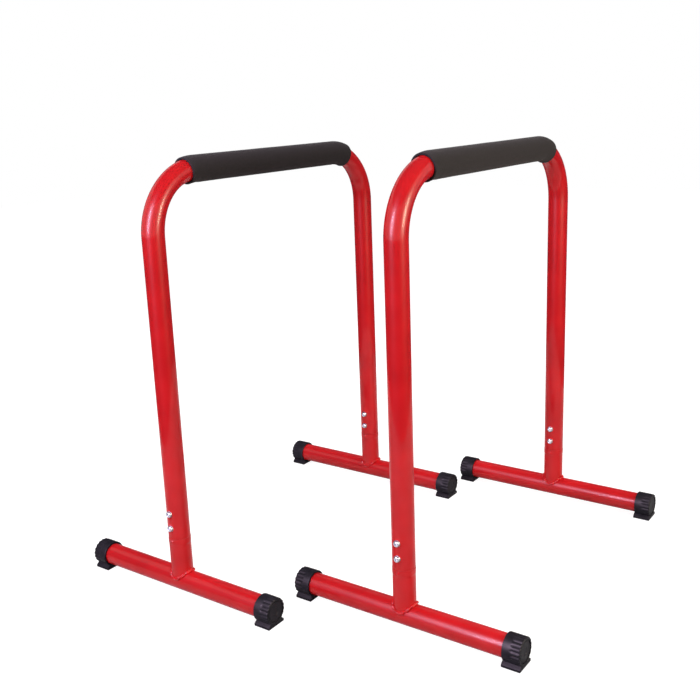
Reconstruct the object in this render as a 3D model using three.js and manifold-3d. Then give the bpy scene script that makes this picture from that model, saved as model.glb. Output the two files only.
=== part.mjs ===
// Dip station: a pair of identical free-standing parallel bars.
// Each bar is an upside-down U of round tube with a foam grip, bolted to two T-shaped feet.
// Millimetres, +Z up. The origin is on the floor, in the middle of the pair.
// The grips run along Y and the feet along X. The left bar is on the -X side.
import * as THREE from 'three';
import { mergeVertices } from 'three/addons/utils/BufferGeometryUtils.js';
import Module from 'manifold-3d';

const wasm = await Module();
wasm.setup();

// The pair
const barSpacing = 415.5; // between the two grips' axes
const barStagger = 114.5; // how far the right bar stands behind the left one
const fitGap = 0.3; // between pieces that are seated on each other

// The tube and the U-frame
const tubeDiameter = 40;
const tubeWall = 1.5;
const legSpacing = 635; // between the axes of one bar's legs
const gripHeight = 776; // the grip's axis above the floor
const bendRadius = 109; // on the tube's axis

// The foam grip
const foamWall = 4;
const frontWrapAngle = 12.5; // degrees of the front bend that the foam covers
const rearWrapAngle = 20.5; // the sleeve sits a little towards the rear

// The feet
const footLength = 446; // over the end faces of its two caps
const seamRise = 88; // from the base tube's axis up to the joint with the leg
const collarHeight = 9.5; // raised band at the top of the post
const collarStep = 0.4;
const spotWeldRadius = 2.6;
const spotWeldStand = 1.3;
const weldBeadRadius = 3;
const weldDipShare = 0.42; // how far the bead rounds off the saddle's lowest points

// The insert sleeve
const insertWall = 2;
const insertDepth = 40; // below the seam
const insertMargin = 18; // above the upper bolt

// Bolts, washers and the nuts welded inside the insert sleeve
const boltDiameter = 6;
const boltRise = 22; // from the seam up to the lower bolt
const boltPitch = 28;
const boltHeadDiameter = 11;
const boltHeadHeight = 3.5;
const boltHeadRim = 0.7; // straight rim below the dome
const boltEndStand = 1.2; // thread beyond the nut
const socketAcrossFlats = 4;
const socketDepth = 2;
const washerDiameter = 12;
const washerWall = 1.2; // at its middle
const nutAcrossFlats = 10;
const nutHeight = 5;

// The rubber end caps
const capWall = 3.7;
const capLength = 31.5;
const capEndWall = 4;
const capMouthChamfer = 0.8;
const capEndChamfer = 1.6;
const capRecessRadius = 14.5;
const capRecessDepth = 1.2;
const ribCount = 18;
const ribDepth = 1.2;
const ribBandLength = 17; // from the end face
const capFloorGap = 3.3; // between the round sleeve and the floor
const padWidth = 41;
const padReach = 2; // beyond the mouth, under the base tube
const padSide = 4.4; // height of its upright sides
const padSlope = 4.8; // height of its slopes
const padNeckWidth = 29;

// Facets
const tubeFacets = 20;
const boltFacets = 12;
const wrapSteps = 2; // of each bend, under the foam
const bendSteps = 6; // of the rest of each bend
const domeSteps = 2;
const ribSteps = 3;
const beadFacets = 6;
const weldDotFacets = 6;
const hexSides = 6;
const overrun = 2; // how far a cutting tool runs past the piece

// Worked out from the sizes above
const tubeRadius = tubeDiameter / 2;
const tubeBore = tubeRadius - tubeWall;
const seatRadius = tubeRadius + fitGap;
const foamRadius = seatRadius + foamWall;
const capRadius = seatRadius + capWall;
const footAxisHeight = capRadius + capFloorGap;
const seamHeight = footAxisHeight + seamRise;
const insertRadius = tubeBore - fitGap;
const insertBore = insertRadius - insertWall;
const insertFlat = insertBore * Math.cos(Math.PI / tubeFacets); // to the middle of a facet
const washerFace = seatRadius + washerWall;
const headSeat = washerFace + fitGap;
const boltRadius = boltDiameter / 2;
const boltHoleRadius = boltRadius + fitGap;
const boltHeadTop = headSeat + boltHeadHeight;
const nutSeat = Math.sqrt(insertFlat ** 2 - (nutAcrossFlats / 2) ** 2) - fitGap;
const boltEnd = nutSeat - nutHeight - boltEndStand;
const lowerBoltHeight = seamHeight + boltRise;
const upperBoltHeight = lowerBoltHeight + boltPitch;
const legHalf = legSpacing / 2;
const footHalf = footLength / 2;
const frontReach = Math.max(capRadius, boltHeadTop); // of a foot, from the leg's axis towards -Y
const centringShift = (frontReach - capRadius) / 2; // brings the pair's middle to the origin

const finishes = {
  redPaint: { color: '#d42427', roughness: 0.22, metalness: 0.1 },
  foam: { color: '#2d2b2e', roughness: 0.95, metalness: 0 },
  rubber: { color: '#2b2a30', roughness: 0.7, metalness: 0 },
  zinc: { color: '#c9ccd0', roughness: 0.3, metalness: 1 },
  steel: { color: '#8f9396', roughness: 0.45, metalness: 1 },
};

// Solids and meshes

// Closes a three.js geometry: equal points become one, and triangles without area go.
function closed(geometry) {
  const bare = new THREE.BufferGeometry();
  bare.setAttribute('position', geometry.getAttribute('position').clone());
  if (geometry.index) bare.setIndex(geometry.index.clone());
  const merged = mergeVertices(bare);
  const index = merged.index.array;
  const kept = [];
  for (let i = 0; i < index.length; i += 3) {
    const [a, b, c] = [index[i], index[i + 1], index[i + 2]];
    if (a !== b && b !== c && c !== a) kept.push(a, b, c);
  }
  merged.setIndex(kept);
  return merged;
}

function solid(geometry) {
  const whole = closed(geometry);
  const mesh = new wasm.Mesh({
    numProp: 3,
    vertProperties: new Float32Array(whole.getAttribute('position').array),
    triVerts: new Uint32Array(whole.index.array),
  });
  return new wasm.Manifold(mesh);
}

function geometryOf(manifold) {
  const mesh = manifold.getMesh();
  const geometry = new THREE.BufferGeometry();
  geometry.setAttribute('position', new THREE.BufferAttribute(mesh.vertProperties.slice(), 3));
  geometry.setIndex(new THREE.BufferAttribute(mesh.triVerts.slice(), 1));
  geometry.computeVertexNormals();
  return geometry;
}

function meshOf(name, geometry, finish) {
  const mesh = new THREE.Mesh(geometry, new THREE.MeshStandardMaterial(finish));
  mesh.name = name;
  return mesh;
}

// Basic shapes

function ringPoints(radius, facets) {
  const points = [];
  for (let i = 0; i < facets; i += 1) {
    const angle = (2 * Math.PI * i) / facets;
    points.push(new THREE.Vector2(radius * Math.cos(angle), radius * Math.sin(angle)));
  }
  return points;
}

function ringSection(outerRadius, innerRadius) {
  const section = new THREE.Shape(ringPoints(outerRadius, tubeFacets));
  section.holes.push(new THREE.Path(ringPoints(innerRadius, tubeFacets)));
  return section;
}

// Pairs of radius and height, turned round +Z.
function turned(profile, facets) {
  const points = profile.map(([radius, height]) => new THREE.Vector2(radius, height));
  return new THREE.LatheGeometry(points, facets).rotateX(Math.PI / 2);
}

// A round bar along Z, from one height to another.
function rod(radius, from, to, facets) {
  return turned([[0, from], [radius, from], [radius, to], [0, to]], facets);
}

function alongX(geometry) {
  return geometry.rotateY(Math.PI / 2);
}

function alongY(geometry) {
  return geometry.rotateX(-Math.PI / 2);
}

// A path that steps from station to station, so that a straight run takes one step.
class StationPath extends THREE.Curve {
  constructor(stations) {
    super();
    this.stations = stations;
  }

  getPoint(t, target = new THREE.Vector3()) {
    const place = t * (this.stations.length - 1);
    const first = Math.min(Math.floor(place), this.stations.length - 2);
    return target.lerpVectors(this.stations[first].point, this.stations[first + 1].point, place - first);
  }

  getPointAt(u, target) {
    return this.getPoint(u, target);
  }

  getTangentAt(u, target = new THREE.Vector3()) {
    const nearest = Math.round(u * (this.stations.length - 1));
    return target.copy(this.stations[nearest].tangent);
  }
}

// A station on a bend, by its angle from the grip: side is -1 at the front leg, 1 at the rear one.
function bendStation(side, degrees) {
  const angle = THREE.MathUtils.degToRad(degrees);
  const y = legHalf - bendRadius + bendRadius * Math.sin(angle);
  const z = gripHeight - bendRadius + bendRadius * Math.cos(angle);
  return {
    point: new THREE.Vector3(0, side * y, z),
    tangent: new THREE.Vector3(0, Math.cos(angle), -side * Math.sin(angle)),
  };
}

function wrapAngle(side) {
  return side < 0 ? frontWrapAngle : rearWrapAngle;
}

// The stations of one bend under the foam, from the grip outwards.
function wrapStations(side) {
  const stations = [];
  for (let i = 0; i <= wrapSteps; i += 1) {
    stations.push(bendStation(side, (wrapAngle(side) * i) / wrapSteps));
  }
  return stations;
}

// The stations of the whole of one leg, from the grip down to the seam.
function legStations(side) {
  const stations = wrapStations(side);
  const bare = 90 - wrapAngle(side);
  for (let i = 1; i <= bendSteps; i += 1) {
    stations.push(bendStation(side, wrapAngle(side) + (bare * i) / bendSteps));
  }
  stations.push({
    point: new THREE.Vector3(0, side * legHalf, seamHeight + fitGap),
    tangent: new THREE.Vector3(0, 0, -side),
  });
  return stations;
}

function pipeThrough(stations, outerRadius, innerRadius) {
  return new THREE.ExtrudeGeometry(ringSection(outerRadius, innerRadius), {
    steps: stations.length - 1,
    extrudePath: new StationPath(stations),
  });
}

// A hole through the wall on the -Y side alone.
function boltHole(y, z) {
  const tool = alongY(rod(boltHoleRadius, -tubeRadius - overrun, 0, boltFacets));
  return solid(tool.translate(0, y, z));
}

// The pieces of one bar

function uFrameGeometry() {
  const stations = [...legStations(-1).reverse(), ...legStations(1)];
  let frame = solid(pipeThrough(stations, tubeRadius, tubeBore));
  for (const y of [-legHalf, legHalf]) {
    for (const z of [lowerBoltHeight, upperBoltHeight]) {
      frame = frame.subtract(boltHole(y, z));
    }
  }
  return geometryOf(frame);
}

function foamGripGeometry() {
  const stations = [...wrapStations(-1).reverse(), ...wrapStations(1)];
  return closed(pipeThrough(stations, foamRadius, seatRadius));
}

// The base tube lies along X, with its middle at the origin.
function baseTubeGeometry() {
  const half = footHalf - capEndWall - fitGap;
  const wall = [[tubeBore, -half], [tubeRadius, -half], [tubeRadius, half], [tubeBore, half], [tubeBore, -half]];
  return closed(alongX(turned(wall, tubeFacets)));
}

// Everything within the base tube's reach, as a tool that cuts what is seated on it.
function baseTubeTool() {
  const reach = capRadius + overrun;
  return solid(alongX(rod(seatRadius, -reach, reach, tubeFacets)));
}

// The post stands on the base tube, whose axis passes through the origin.
function legPostGeometry() {
  const collarRadius = tubeRadius + collarStep;
  const collarFoot = seamRise - collarHeight;
  const wall = [
    [tubeBore, 0],
    [tubeRadius, 0],
    [tubeRadius, collarFoot - collarStep],
    [collarRadius, collarFoot],
    [collarRadius, seamRise],
    [tubeBore, seamRise],
    [tubeBore, 0],
  ];
  const dot = new THREE.SphereGeometry(spotWeldRadius, weldDotFacets, weldDotFacets);
  dot.translate(0, spotWeldRadius - spotWeldStand - collarRadius, seamRise - collarHeight / 2);
  const bore = rod(tubeBore, 0, seamRise + overrun, tubeFacets);
  const post = solid(turned(wall, tubeFacets)).add(solid(dot)).subtract(solid(bore));
  return geometryOf(post.subtract(baseTubeTool()));
}

// The bead is a ring round the post, lifted to follow the saddle between the two tubes.
function weldBeadGeometry() {
  const ring = new THREE.TorusGeometry(seatRadius, weldBeadRadius, beadFacets, tubeFacets);
  const points = ring.getAttribute('position');
  for (let i = 0; i < points.count; i += 1) {
    const angle = Math.atan2(points.getY(i), points.getX(i));
    const lift = seatRadius * Math.hypot(Math.cos(angle), weldDipShare);
    points.setZ(i, points.getZ(i) + lift);
  }
  const post = solid(rod(seatRadius, -tubeRadius, seamRise, tubeFacets));
  return geometryOf(solid(ring).subtract(post).subtract(baseTubeTool()));
}

// The insert sleeve, with its origin on the post's axis at the seam.
function insertSleeveGeometry() {
  const top = boltRise + boltPitch + insertMargin;
  const wall = [
    [insertBore, -insertDepth],
    [insertRadius, -insertDepth],
    [insertRadius, top],
    [insertBore, top],
    [insertBore, -insertDepth],
  ];
  let sleeve = solid(turned(wall, tubeFacets));
  for (const z of [boltRise, boltRise + boltPitch]) {
    sleeve = sleeve.subtract(boltHole(0, z));
  }
  return geometryOf(sleeve);
}

// A bolt into the leg, with its head towards -Y, placed from the leg's axis.
function boltGeometry() {
  const headRadius = boltHeadDiameter / 2;
  const crown = socketAcrossFlats / 2 + boltHeadRim;
  const domeHeight = boltHeadHeight - boltHeadRim;
  const profile = [[0, boltEnd], [boltRadius, boltEnd], [boltRadius, headSeat], [headRadius, headSeat]];
  for (let i = 0; i <= domeSteps; i += 1) {
    const angle = (Math.PI * i) / (2 * domeSteps);
    const radius = crown + (headRadius - crown) * Math.cos(angle);
    profile.push([radius, headSeat + boltHeadRim + domeHeight * Math.sin(angle)]);
  }
  profile.push([0, boltHeadTop]);
  const socketRadius = socketAcrossFlats / Math.sqrt(3);
  const socket = rod(socketRadius, boltHeadTop - socketDepth, boltHeadTop + overrun, hexSides);
  const bolt = solid(turned(profile, boltFacets)).subtract(solid(socket));
  return geometryOf(bolt).rotateX(Math.PI / 2);
}

// A washer with one flat face and one face hollowed to the tube, towards -Y from the leg's axis.
function washerGeometry() {
  const disc = rod(washerDiameter / 2, 0, washerFace, boltFacets).rotateX(Math.PI / 2);
  const hole = rod(boltHoleRadius, -overrun, washerFace + overrun, boltFacets).rotateX(Math.PI / 2);
  const leg = rod(seatRadius, -washerDiameter, washerDiameter, tubeFacets);
  return geometryOf(solid(disc).subtract(solid(hole)).subtract(solid(leg)));
}

// A hex nut whose outer face meets the insert sleeve's bore at its two upright sides.
function weldNutGeometry() {
  const hexagon = rod(nutAcrossFlats / Math.sqrt(3), 0, nutHeight, hexSides);
  const bore = rod(boltHoleRadius, -overrun, nutHeight + overrun, boltFacets);
  const nut = geometryOf(solid(hexagon).subtract(solid(bore)));
  return alongY(nut).translate(0, -nutSeat, 0);
}

// The ribbed band of a cap: round ribs with sharp valleys between them.
function ribSection() {
  const points = [];
  const count = ribCount * ribSteps;
  for (let i = 0; i < count; i += 1) {
    const angle = (2 * Math.PI * i) / count;
    const bulge = Math.abs(Math.sin((ribCount * angle) / 2));
    const radius = capRadius - ribDepth * (1 - bulge);
    points.push(new THREE.Vector2(radius * Math.cos(angle), radius * Math.sin(angle)));
  }
  return new THREE.Shape(points);
}

// The floor pad's section across the foot: y sideways, z up from the tube's axis.
function padSection() {
  const floor = -footAxisHeight;
  const half = padWidth / 2;
  const neck = padNeckWidth / 2;
  return new THREE.Shape([
    new THREE.Vector2(-half, floor),
    new THREE.Vector2(half, floor),
    new THREE.Vector2(half, floor + padSide),
    new THREE.Vector2(neck, floor + padSide + padSlope),
    new THREE.Vector2(-neck, floor + padSide + padSlope),
    new THREE.Vector2(-half, floor + padSide),
  ]);
}

// An end cap. Its mouth is at the origin, and it runs along +X to its end face.
function endCapGeometry() {
  const core = capRadius - ribDepth;
  const bandStart = capLength - ribBandLength;
  const bandEnd = capLength - capEndChamfer;
  const profile = [
    [0, 0],
    [capRadius - capMouthChamfer, 0],
    [capRadius, capMouthChamfer],
    [capRadius, bandStart],
    [core, bandStart],
    [core, bandEnd],
    [core - capEndChamfer, capLength],
    [capRecessRadius, capLength],
    [capRecessRadius, capLength - capRecessDepth],
    [0, capLength - capRecessDepth],
  ];
  const band = new THREE.ExtrudeGeometry(ribSection(), { depth: bandEnd - bandStart, bevelEnabled: false });
  band.translate(0, 0, bandStart);
  const pad = new THREE.ExtrudeGeometry(padSection(), { depth: padReach + capLength, bevelEnabled: false });
  pad.rotateX(Math.PI / 2).rotateZ(Math.PI / 2).translate(-padReach, 0, 0);
  const bore = alongX(rod(seatRadius, -padReach - overrun, capLength - capEndWall, tubeFacets));
  const sleeve = solid(alongX(turned(profile, tubeFacets))).add(solid(alongX(band)));
  return geometryOf(sleeve.add(solid(pad)).subtract(solid(bore)));
}

const shapes = {
  uFrame: uFrameGeometry(),
  foamGrip: foamGripGeometry(),
  baseTube: baseTubeGeometry(),
  legPost: legPostGeometry(),
  weldBead: weldBeadGeometry(),
  insertSleeve: insertSleeveGeometry(),
  bolt: boltGeometry(),
  washer: washerGeometry(),
  weldNut: weldNutGeometry(),
  endCap: endCapGeometry(),
};

// The assembly

// A bolt with its washer and its weld nut, in a leg at the group's origin.
function boltSet(name) {
  const group = new THREE.Group();
  group.add(
    meshOf(`${name}_bolt`, shapes.bolt, finishes.zinc),
    meshOf(`${name}_washer`, shapes.washer, finishes.zinc),
    meshOf(`${name}_weld_nut`, shapes.weldNut, finishes.steel),
  );
  return group;
}

// A T-shaped foot with its insert and bolts. endNames names its caps at -X and at +X.
function foot(name, endNames) {
  const group = new THREE.Group();
  const base = new THREE.Group();
  base.position.z = footAxisHeight;
  base.add(
    meshOf(`${name}_base_tube`, shapes.baseTube, finishes.redPaint),
    meshOf(`${name}_leg_post`, shapes.legPost, finishes.redPaint),
    meshOf(`${name}_weld_bead`, shapes.weldBead, finishes.redPaint),
  );
  endNames.forEach((endName, index) => {
    const cap = meshOf(`${name}_${endName}_end_cap`, shapes.endCap, finishes.rubber);
    const mouth = footHalf - capLength;
    cap.position.x = index === 0 ? -mouth : mouth;
    cap.rotation.z = index === 0 ? Math.PI : 0;
    base.add(cap);
  });
  const sleeve = meshOf(`${name}_insert_sleeve`, shapes.insertSleeve, finishes.steel);
  sleeve.position.z = seamHeight;
  const lowerSet = boltSet(`${name}_lower`);
  lowerSet.position.z = lowerBoltHeight;
  const upperSet = boltSet(`${name}_upper`);
  upperSet.position.z = upperBoltHeight;
  group.add(base, sleeve, lowerSet, upperSet);
  return group;
}

function bar(name, endNames) {
  const group = new THREE.Group();
  const frontFoot = foot(`${name}_front`, endNames);
  frontFoot.position.y = -legHalf;
  const rearFoot = foot(`${name}_rear`, endNames);
  rearFoot.position.y = legHalf;
  group.add(
    meshOf(`${name}_u_frame`, shapes.uFrame, finishes.redPaint),
    meshOf(`${name}_foam_grip`, shapes.foamGrip, finishes.foam),
    frontFoot,
    rearFoot,
  );
  return group;
}

const dipStation = new THREE.Group();
const leftBar = bar('left', ['outer', 'inner']);
leftBar.position.set(-barSpacing / 2, centringShift - barStagger / 2, 0);
const rightBar = bar('right', ['inner', 'outer']);
rightBar.position.set(barSpacing / 2, centringShift + barStagger / 2, 0);
dipStation.add(leftBar, rightBar);
dipStation.updateMatrixWorld(true);

export default dipStation;
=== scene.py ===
# Dip station: a pair of identical free-standing bars. Each bar is an upside-down U of
# powder-coated steel tube with a foam grip, bolted to two T-shaped feet with rubber end caps.
# Lengths are in millimetres. Only the camera and the studio are given in metres.
import math

import bmesh
import bpy
import numpy as np
from mathutils import Matrix, Vector


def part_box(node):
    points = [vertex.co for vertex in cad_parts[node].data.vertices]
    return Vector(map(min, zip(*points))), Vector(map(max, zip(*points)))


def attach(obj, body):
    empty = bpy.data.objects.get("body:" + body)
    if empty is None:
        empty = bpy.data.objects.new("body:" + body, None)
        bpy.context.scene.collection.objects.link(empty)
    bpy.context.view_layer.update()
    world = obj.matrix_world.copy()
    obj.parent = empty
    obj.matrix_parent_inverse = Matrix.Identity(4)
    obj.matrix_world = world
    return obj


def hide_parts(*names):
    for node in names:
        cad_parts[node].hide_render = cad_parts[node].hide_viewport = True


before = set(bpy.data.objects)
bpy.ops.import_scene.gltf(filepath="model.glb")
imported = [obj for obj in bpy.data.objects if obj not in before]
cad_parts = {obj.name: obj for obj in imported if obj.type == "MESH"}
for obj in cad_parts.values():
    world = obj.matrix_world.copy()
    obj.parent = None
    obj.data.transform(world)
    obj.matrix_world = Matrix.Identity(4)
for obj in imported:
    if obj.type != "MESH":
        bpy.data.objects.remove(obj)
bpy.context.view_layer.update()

metresPerMm = 0.001
fullTurn = 2 * math.pi
quarterTurn = math.pi / 2
quarterDegrees = 90
mergeDistance = 1e-7  # metres, between points that are one
tiny = 1e-9  # keeps divisions away from zero
edgeAngle = 40  # degrees between two faces, above which their edge stays sharp
white = (1, 1, 1, 1)

# The camera, at the photograph's viewing angle

camera = {
    "place": (0.97374, -1.47299, 0.88065),
    "azimuth": 35.834,  # degrees, and 0 looks along +Y
    "elevation": 14.214,
    "roll": -2.281,
    "photoWidth": 700,  # pixels
    "focalPixels": 931.4,
    "aimPixel": (342.06, 337.59),  # where the lens axis meets the photograph
    "sensorWidth": 36,
}


def makeCamera():
    azimuth, elevation, roll = (math.radians(camera[key]) for key in ("azimuth", "elevation", "roll"))
    level = math.cos(elevation)
    back = Vector((math.sin(azimuth) * level, -math.cos(azimuth) * level, math.sin(elevation)))
    right = Vector((math.cos(azimuth), math.sin(azimuth), 0))
    turn = Matrix((right, back.cross(right), back)).transposed() @ Matrix.Rotation(roll, 3, "Z")
    width, aim = camera["photoWidth"], camera["aimPixel"]
    data = bpy.data.cameras.new("photoCamera")
    data.sensor_width = camera["sensorWidth"]
    data.lens = camera["focalPixels"] * camera["sensorWidth"] / width
    data.shift_x = (width / 2 - aim[0]) / width
    data.shift_y = (aim[1] - width / 2) / width
    made = bpy.data.objects.new("photoCamera", data)
    made.matrix_world = Matrix.Translation(camera["place"]) @ turn.to_4x4()
    bpy.context.scene.collection.objects.link(made)
    bpy.context.scene.camera = made


makeCamera()
print("camera in place")

# Materials


def colour(hexValue):
    # sRGB hex to linear: the standard curve, with its straight foot below 0.04045.
    channels = [int(hexValue[i:i + 2], 16) / 255 for i in (1, 3, 5)]
    return (*[c / 12.92 if c <= 0.04045 else ((c + 0.055) / 1.055) ** 2.4 for c in channels], 1)


def addNode(tree, kind, settings=None, **sockets):
    # Adds one node. A socket's name is written without its spaces, or as s and its number,
    # and its value is a plain value or the output of another node.
    node = tree.nodes.new(kind)
    for name, value in (settings or {}).items():
        setattr(node, name, value)
    named = {socket.name.replace(" ", ""): socket for socket in reversed(list(node.inputs))}
    for name, value in sockets.items():
        socket = node.inputs[int(name[1:])] if name[1:].isdigit() else named[name]
        if isinstance(value, bpy.types.NodeSocket):
            tree.links.new(value, socket)
        else:
            socket.default_value = value
    return node


def newMaterial(name):
    material = bpy.data.materials.new(name)
    material.use_nodes = True
    material.node_tree.nodes.clear()
    return material, material.node_tree


def waves(tree, pitch, detail):
    # Noise on Object coordinates whose lumps are about pitch mm apart.
    place = addNode(tree, "ShaderNodeTexCoord").outputs["Object"]
    return addNode(tree, "ShaderNodeTexNoise", Vector=place, Scale=1 / (pitch * metresPerMm),
                   Detail=detail).outputs["Fac"]


def ranged(tree, value, low, high, fromLow=0.3, fromHigh=0.7):
    # Spreads a value from low to high. Noise seldom leaves 0.3 to 0.7.
    return addNode(tree, "ShaderNodeMapRange", Value=value, FromMin=fromLow, FromMax=fromHigh,
                   ToMin=low, ToMax=high).outputs["Result"]


def mixed(tree, share, first, second):
    # Goes from the first colour to the second as the share goes from 0 to 1.
    return addNode(tree, "ShaderNodeMix", {"data_type": "RGBA"}, s0=share, s6=first,
                   s7=second).outputs[2]


def closeMaterial(material, shader):
    addNode(material.node_tree, "ShaderNodeOutputMaterial", Surface=shader.outputs["BSDF"])
    return material


redPaint = {
    "colour": "#D7171D",
    "thinColour": "#C91218",  # where the coat lies thinner
    "peelPitch": 2.6,  # orange peel is 1 to 3 mm apart
    "peelDepth": 0.012,
    "swellPitch": 55,
    "roughness": (0.30, 0.38),
    "specular": 0.07,
    "coat": 0.5,
    "coatRoughness": 0.045,
}


def redPowderCoat():
    # Polyester powder coat, sprayed dry and baked on steel: a deep even red with a hard gloss,
    # a faint orange peel that wavers the streaks of light, and slightly uneven cover.
    material, tree = newMaterial("redPowderCoat")
    swell = waves(tree, redPaint["swellPitch"], 1)
    peel = waves(tree, redPaint["peelPitch"], 1)
    paint = mixed(tree, ranged(tree, swell, 0, 1), colour(redPaint["colour"]),
                  colour(redPaint["thinColour"]))
    bump = addNode(tree, "ShaderNodeBump", Strength=1, Height=peel,
                   Distance=redPaint["peelDepth"] * metresPerMm)
    shader = addNode(tree, "ShaderNodeBsdfPrincipled", BaseColor=paint, Normal=bump.outputs["Normal"],
                     Roughness=ranged(tree, peel, *redPaint["roughness"]))
    shader.inputs["Specular IOR Level"].default_value = redPaint["specular"]
    shader.inputs["Coat Weight"].default_value = redPaint["coat"]
    shader.inputs["Coat Roughness"].default_value = redPaint["coatRoughness"]
    return closeMaterial(material, shader)


gripFoamLook = {
    "colour": "#211A20",
    # Painted shade: the pores are darkened where the bump sinks them.
    "poreColour": "#0E0B0E",
    "dustColour": "#2A2329",
    "dustShare": 0.6,
    "porePitch": 1.1,  # real pores are about 0.3 mm, drawn coarser so that they show
    "poreDepth": 0.16,
    "poreBump": 0.6,
    "poreEdge": (0.3, 0.75),  # it darkens between these distances from a cell's middle, in pitches
    "poreShare": 0.55,
    "skinPitch": 9,
    "roughness": (0.9, 1.0),
    "specular": 0.12,
    "sheen": 0.05,
    "sheenRoughness": 0.5,
}


def closedCellFoam():
    # Nitrile foam, extruded as a sleeve: charcoal, dead matt and finely pitted, with painted shade
    # darkening the pits, a little paler where the skin is rubbed, and a soft bloom at grazing angles.
    material, tree = newMaterial("closedCellFoam")
    place = addNode(tree, "ShaderNodeTexCoord").outputs["Object"]
    pores = addNode(tree, "ShaderNodeTexVoronoi", Vector=place,
                    Scale=1 / (gripFoamLook["porePitch"] * metresPerMm)).outputs["Distance"]
    skin = waves(tree, gripFoamLook["skinPitch"], 4)
    dusty = ranged(tree, skin, 0, gripFoamLook["dustShare"])
    rubbed = mixed(tree, dusty, colour(gripFoamLook["colour"]), colour(gripFoamLook["dustColour"]))
    # Painted shade in the pits: darker towards each pore cell's edge, where the bump is lowest.
    paintedPoreShade = ranged(tree, pores, 0, gripFoamLook["poreShare"], *gripFoamLook["poreEdge"])
    pitShadedColour = mixed(tree, paintedPoreShade, rubbed, colour(gripFoamLook["poreColour"]))
    bump = addNode(tree, "ShaderNodeBump", {"invert": True}, Strength=gripFoamLook["poreBump"],
                   Distance=gripFoamLook["poreDepth"] * metresPerMm, Height=pores)
    shader = addNode(tree, "ShaderNodeBsdfPrincipled", BaseColor=pitShadedColour, Normal=bump.outputs["Normal"],
                     Roughness=ranged(tree, skin, *gripFoamLook["roughness"]))
    shader.inputs["Specular IOR Level"].default_value = gripFoamLook["specular"]
    shader.inputs["Sheen Weight"].default_value = gripFoamLook["sheen"]
    shader.inputs["Sheen Roughness"].default_value = gripFoamLook["sheenRoughness"]
    return closeMaterial(material, shader)


capRubberLook = {
    "colour": "#1B1A20",
    "wornColour": "#24222A",
    "grainPitch": 0.9,
    "grainDepth": 0.03,
    "grainBump": 0.5,
    "cloudPitch": 14,
    "roughness": (0.42, 0.56),
    "specular": 0.08,
}


def mouldedRubber():
    # Black rubber with a violet cast, injection moulded: satin, with the mould's fine
    # spark-eroded grain and slightly duller clouds where hands have been.
    material, tree = newMaterial("mouldedRubber")
    cloud = waves(tree, capRubberLook["cloudPitch"], 3)
    grain = waves(tree, capRubberLook["grainPitch"], 2)
    black = mixed(tree, ranged(tree, cloud, 0, 1), colour(capRubberLook["colour"]),
                  colour(capRubberLook["wornColour"]))
    bump = addNode(tree, "ShaderNodeBump", Strength=capRubberLook["grainBump"], Height=grain,
                   Distance=capRubberLook["grainDepth"] * metresPerMm)
    shader = addNode(tree, "ShaderNodeBsdfPrincipled", BaseColor=black, Normal=bump.outputs["Normal"],
                     Roughness=ranged(tree, cloud, *capRubberLook["roughness"]))
    shader.inputs["Specular IOR Level"].default_value = capRubberLook["specular"]
    return closeMaterial(material, shader)


zincLook = {
    "colour": "#D5D8DC",
    "tintColour": "#C3C9D6",
    "cloudPitch": 5,
    "scratchPitch": 0.5,
    "roughness": (0.16, 0.26),
}
# The washers' dark grey is partly painted shade: it stands for the shade round the bolt heads.
dullZincPaintedShadeLook = {
    "colour": "#8B8890",
    "tintColour": "#6F6C76",
    "cloudPitch": 3,
    "scratchPitch": 0.7,
    "roughness": (0.38, 0.5),
}


def zincPlate(name, look):
    # Zinc, electroplated on steel and passivated, with a faint blue cast. The bolts are bright:
    # mirror-like but slightly clouded. The stamped washers, plated in a barrel, are grey and dull;
    # their grey is darkened further as painted shade round the bolt heads.
    material, tree = newMaterial(name)
    cloud = waves(tree, look["cloudPitch"], 2)
    scratch = waves(tree, look["scratchPitch"], 3)
    metal = mixed(tree, ranged(tree, cloud, 0, 1), colour(look["colour"]), colour(look["tintColour"]))
    shader = addNode(tree, "ShaderNodeBsdfPrincipled", BaseColor=metal,
                     Roughness=ranged(tree, scratch, *look["roughness"]))
    shader.inputs["Metallic"].default_value = 1
    return closeMaterial(material, shader)


steelLook = {
    "colour": "#8C8F92",
    "oilColour": "#6F7071",
    "drawPitch": 0.6,  # across the lines that the die leaves
    "stretch": 40,  # how much longer than wide a line is
    "roughness": (0.32, 0.5),
}


def drawnSteel():
    # Bare cold-drawn steel tube, lightly oiled: grey, with fine lines along the drawing direction.
    material, tree = newMaterial("drawnSteel")
    place = addNode(tree, "ShaderNodeTexCoord").outputs["Object"]
    along = addNode(tree, "ShaderNodeMapping", Vector=place, Scale=(1, 1, 1 / steelLook["stretch"]))
    lines = addNode(tree, "ShaderNodeTexNoise", Vector=along.outputs["Vector"],
                    Scale=1 / (steelLook["drawPitch"] * metresPerMm), Detail=2).outputs["Fac"]
    metal = mixed(tree, ranged(tree, lines, 0, 1), colour(steelLook["colour"]),
                  colour(steelLook["oilColour"]))
    shader = addNode(tree, "ShaderNodeBsdfPrincipled", BaseColor=metal,
                     Roughness=ranged(tree, lines, *steelLook["roughness"]))
    shader.inputs["Metallic"].default_value = 1
    return closeMaterial(material, shader)


paintMaterial = redPowderCoat()
foamMaterial = closedCellFoam()
rubberMaterial = mouldedRubber()
boltMaterial = zincPlate("brightZincPlate", zincLook)
washerMaterial = zincPlate("dullZincPaintedShade", dullZincPaintedShadeLook)
steelMaterial = drawnSteel()
print("materials made")

# Tools for surfaces


def circle(count):
    return np.linspace(0, fullTurn, count, endpoint=False)


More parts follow.
